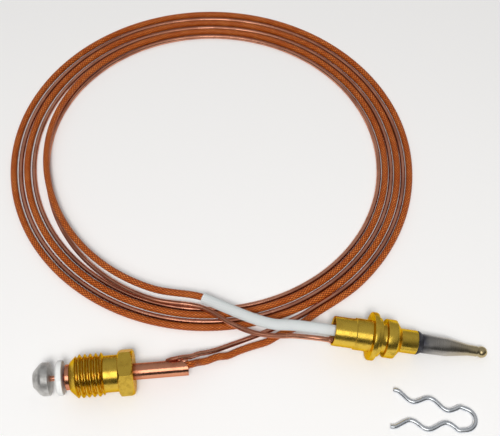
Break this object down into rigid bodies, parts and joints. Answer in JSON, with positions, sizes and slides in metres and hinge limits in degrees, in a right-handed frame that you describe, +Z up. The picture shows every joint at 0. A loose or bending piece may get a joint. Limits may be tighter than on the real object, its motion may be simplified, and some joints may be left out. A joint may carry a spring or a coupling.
{
  "type": "gas thermocouple",
  "caption": "Gas flame thermocouple with a brass probe head, a steel hot tip, two loosely coiled leads, a threaded gland nut with its contact, and a wire retaining clip.",
  "frame": {"origin": "on the table under the middle of the rigid pieces (head, contact end and clip), the free leads left out", "axes": "+X from the contact button towards the hot tip, +Y from the head towards the coil of leads, +Z up"},
  "size_m": [0.0973, 0.1051, 0.0091],
  "materials": {
    "brass": "machined brass, satin with fine turning marks",
    "steel_tip": "heat-tinted stainless steel",
    "tip_weld": "bronze-tinted weld bead",
    "constantan": "drawn copper-nickel rod",
    "ceramic": "matt ceramic fibre",
    "braze": "dark brazing alloy",
    "copper": "drawn copper, slightly dulled",
    "varnished_braid": "varnished glass-yarn braid",
    "glass_fibre": "white glass-fibre braid",
    "potting": "matt potting compound",
    "red_insulation": "dark red enamel sleeve",
    "tin": "dull tinned metal",
    "white_washer": "matt white insulating board",
    "zinc": "bright zinc-plated spring wire"
  },
  "bodies": {
    "thermocouple": {"probe_body": "brass", "hot_sheath": "steel_tip", "tip_bead": "tip_weld", "element_rod": "constantan", "element_insulator": "ceramic", "neck_braze": "braze", "head_splice": "tin", "rear_potting": "potting", "bare_lead_solder": "copper", "bare_lead": "copper", "braided_lead": "varnished_braid", "fibre_sleeve": "glass_fibre", "head_core": "copper", "tail_core": "copper", "contact_tube": "copper", "seat_ring": "copper", "tube_braze": "copper", "centre_conductor": "copper", "conductor_insulation": "red_insulation", "tail_splice": "tin", "contact_button": "tin"},
    "nut": {"gland_nut": "brass"},
    "washer": {"insulating_washer": "white_washer"},
    "clip": {"retaining_clip": "zinc"}
  },
  "joints": [
    {"name": "nut_spin", "type": "hinge", "parent": "thermocouple", "child": "nut", "pos_m": [-0.02925, -0.00096, 0.004], "axis": [0.996, 0.0889, 0], "continuous": true},
    {"name": "washer_slide", "type": "slide", "parent": "thermocouple", "child": "washer", "axis": [0.996, 0.0889, 0], "range_m": [-0.00125, 0.00035]},
    {"name": "clip_lift", "type": "slide", "parent": "thermocouple", "child": "clip", "axis": [0, 0, 1], "range_m": [0, 0.015]}
  ]
}
